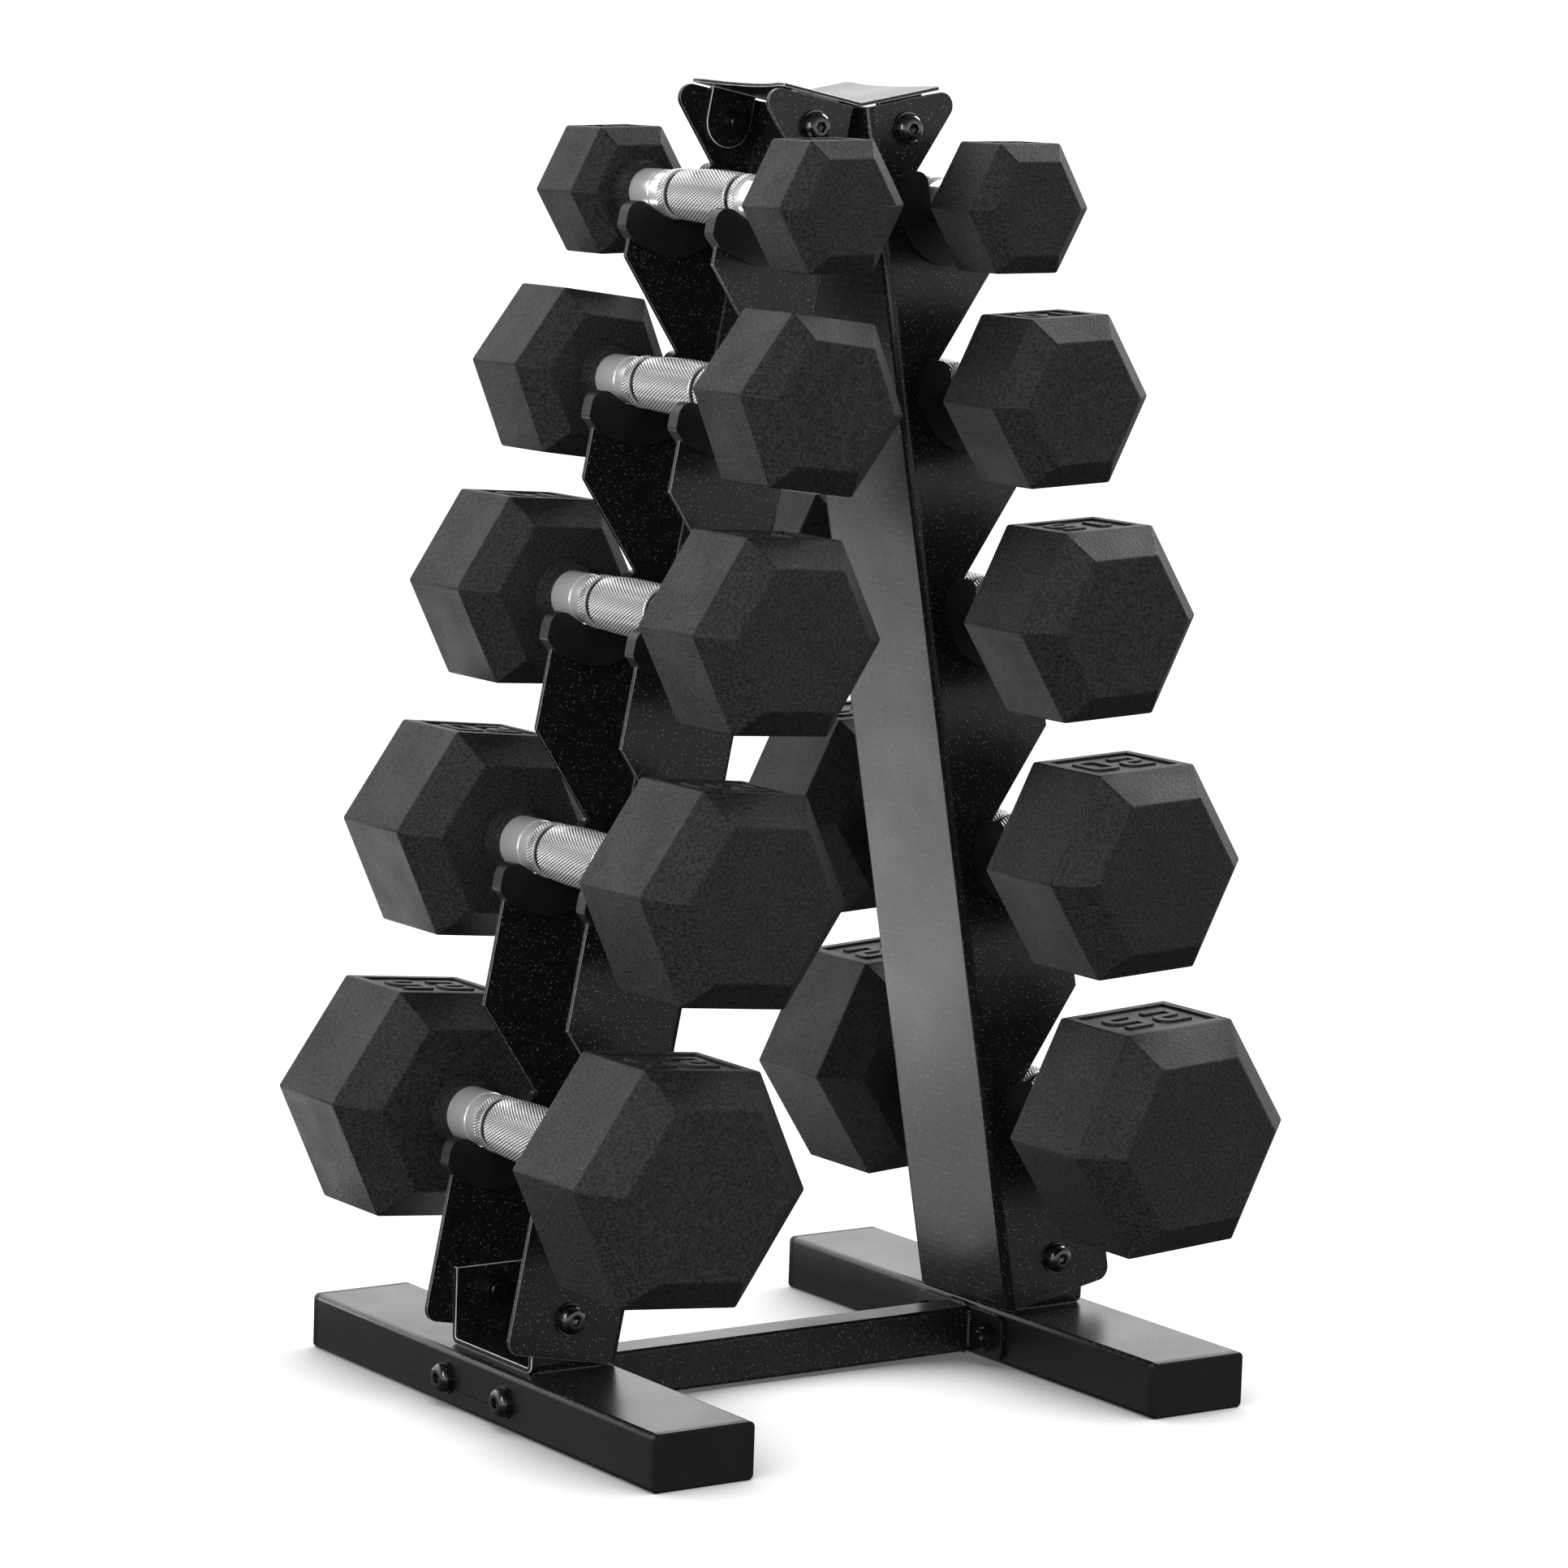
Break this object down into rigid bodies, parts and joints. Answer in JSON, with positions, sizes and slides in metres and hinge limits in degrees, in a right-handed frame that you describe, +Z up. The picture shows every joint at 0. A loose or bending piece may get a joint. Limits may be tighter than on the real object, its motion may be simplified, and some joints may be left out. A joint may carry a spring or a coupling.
{
  "type": "dumbbell rack",
  "caption": "A-shaped dumbbell rack: leaning channel uprights on tube feet, with plastic saddles that cradle rubber hex dumbbells with chrome handles.",
  "frame": {"origin": "on the floor, midway between the feet and midway along them", "axes": "+X from the left foot to the right foot, +Y along the feet and the handles from front to rear, +Z up"},
  "size_m": [0.435, 0.331, 0.6773],
  "materials": {
    "powder_coat": "semi-gloss black powder coat",
    "saddle_plastic": "moulded matte black",
    "cap_plastic": "moulded matte black",
    "black_steel": "black oxide",
    "head_rubber": "fine stipple, charcoal",
    "chrome": "polished, knurled grip",
    "iron": "as cast"
  },
  "bodies": {
    "rack": {"left_upright": "powder_coat", "right_upright": "powder_coat", "top_bracket": "powder_coat", "left_foot": "powder_coat", "right_foot": "powder_coat", "foot_end_caps": "cap_plastic", "cross_tube": "powder_coat", "cross_tube_plates": "powder_coat", "left_foot_bracket": "powder_coat", "right_foot_bracket": "powder_coat", "left_front_saddles": "saddle_plastic", "left_rear_saddles": "saddle_plastic", "right_front_saddles": "saddle_plastic", "right_rear_saddles": "saddle_plastic", "upright_bolts": "black_steel", "cross_tube_bolts": "black_steel", "washers": "black_steel", "lock_nuts": "black_steel"},
    "left_05_dumbbell": {"left_05_handle": "chrome", "left_05_front_head": "head_rubber", "left_05_rear_head": "head_rubber", "left_05_cores": "iron"},
    "left_10_dumbbell": {"left_10_handle": "chrome", "left_10_front_head": "head_rubber", "left_10_rear_head": "head_rubber", "left_10_cores": "iron"},
    "left_15_dumbbell": {"left_15_handle": "chrome", "left_15_front_head": "head_rubber", "left_15_rear_head": "head_rubber", "left_15_cores": "iron"},
    "left_20_dumbbell": {"left_20_handle": "chrome", "left_20_front_head": "head_rubber", "left_20_rear_head": "head_rubber", "left_20_cores": "iron"},
    "left_25_dumbbell": {"left_25_handle": "chrome", "left_25_front_head": "head_rubber", "left_25_rear_head": "head_rubber", "left_25_cores": "iron"},
    "right_05_dumbbell": {"right_05_handle": "chrome", "right_05_front_head": "head_rubber", "right_05_rear_head": "head_rubber", "right_05_cores": "iron"},
    "right_10_dumbbell": {"right_10_handle": "chrome", "right_10_front_head": "head_rubber", "right_10_rear_head": "head_rubber", "right_10_cores": "iron"},
    "right_15_dumbbell": {"right_15_handle": "chrome", "right_15_front_head": "head_rubber", "right_15_rear_head": "head_rubber", "right_15_cores": "iron"},
    "right_20_dumbbell": {"right_20_handle": "chrome", "right_20_front_head": "head_rubber", "right_20_rear_head": "head_rubber", "right_20_cores": "iron"},
    "right_25_dumbbell": {"right_25_handle": "chrome", "right_25_front_head": "head_rubber", "right_25_rear_head": "head_rubber", "right_25_cores": "iron"}
  },
  "joints": [
    {"name": "left_05_lift", "type": "slide", "parent": "rack", "child": "left_05_dumbbell", "axis": [-0.848, 0, 0.5299], "range_m": [0, 0.25]},
    {"name": "left_10_lift", "type": "slide", "parent": "rack", "child": "left_10_dumbbell", "axis": [-0.848, 0, 0.5299], "range_m": [0, 0.25]},
    {"name": "left_15_lift", "type": "slide", "parent": "rack", "child": "left_15_dumbbell", "axis": [-0.848, 0, 0.5299], "range_m": [0, 0.25]},
    {"name": "left_20_lift", "type": "slide", "parent": "rack", "child": "left_20_dumbbell", "axis": [-0.848, 0, 0.5299], "range_m": [0, 0.25]},
    {"name": "left_25_lift", "type": "slide", "parent": "rack", "child": "left_25_dumbbell", "axis": [-0.848, 0, 0.5299], "range_m": [0, 0.25]},
    {"name": "right_05_lift", "type": "slide", "parent": "rack", "child": "right_05_dumbbell", "axis": [0.848, 0, 0.5299], "range_m": [0, 0.25]},
    {"name": "right_10_lift", "type": "slide", "parent": "rack", "child": "right_10_dumbbell", "axis": [0.848, 0, 0.5299], "range_m": [0, 0.25]},
    {"name": "right_15_lift", "type": "slide", "parent": "rack", "child": "right_15_dumbbell", "axis": [0.848, 0, 0.5299], "range_m": [0, 0.25]},
    {"name": "right_20_lift", "type": "slide", "parent": "rack", "child": "right_20_dumbbell", "axis": [0.848, 0, 0.5299], "range_m": [0, 0.25]},
    {"name": "right_25_lift", "type": "slide", "parent": "rack", "child": "right_25_dumbbell", "axis": [0.848, 0, 0.5299], "range_m": [0, 0.25]}
  ]
}
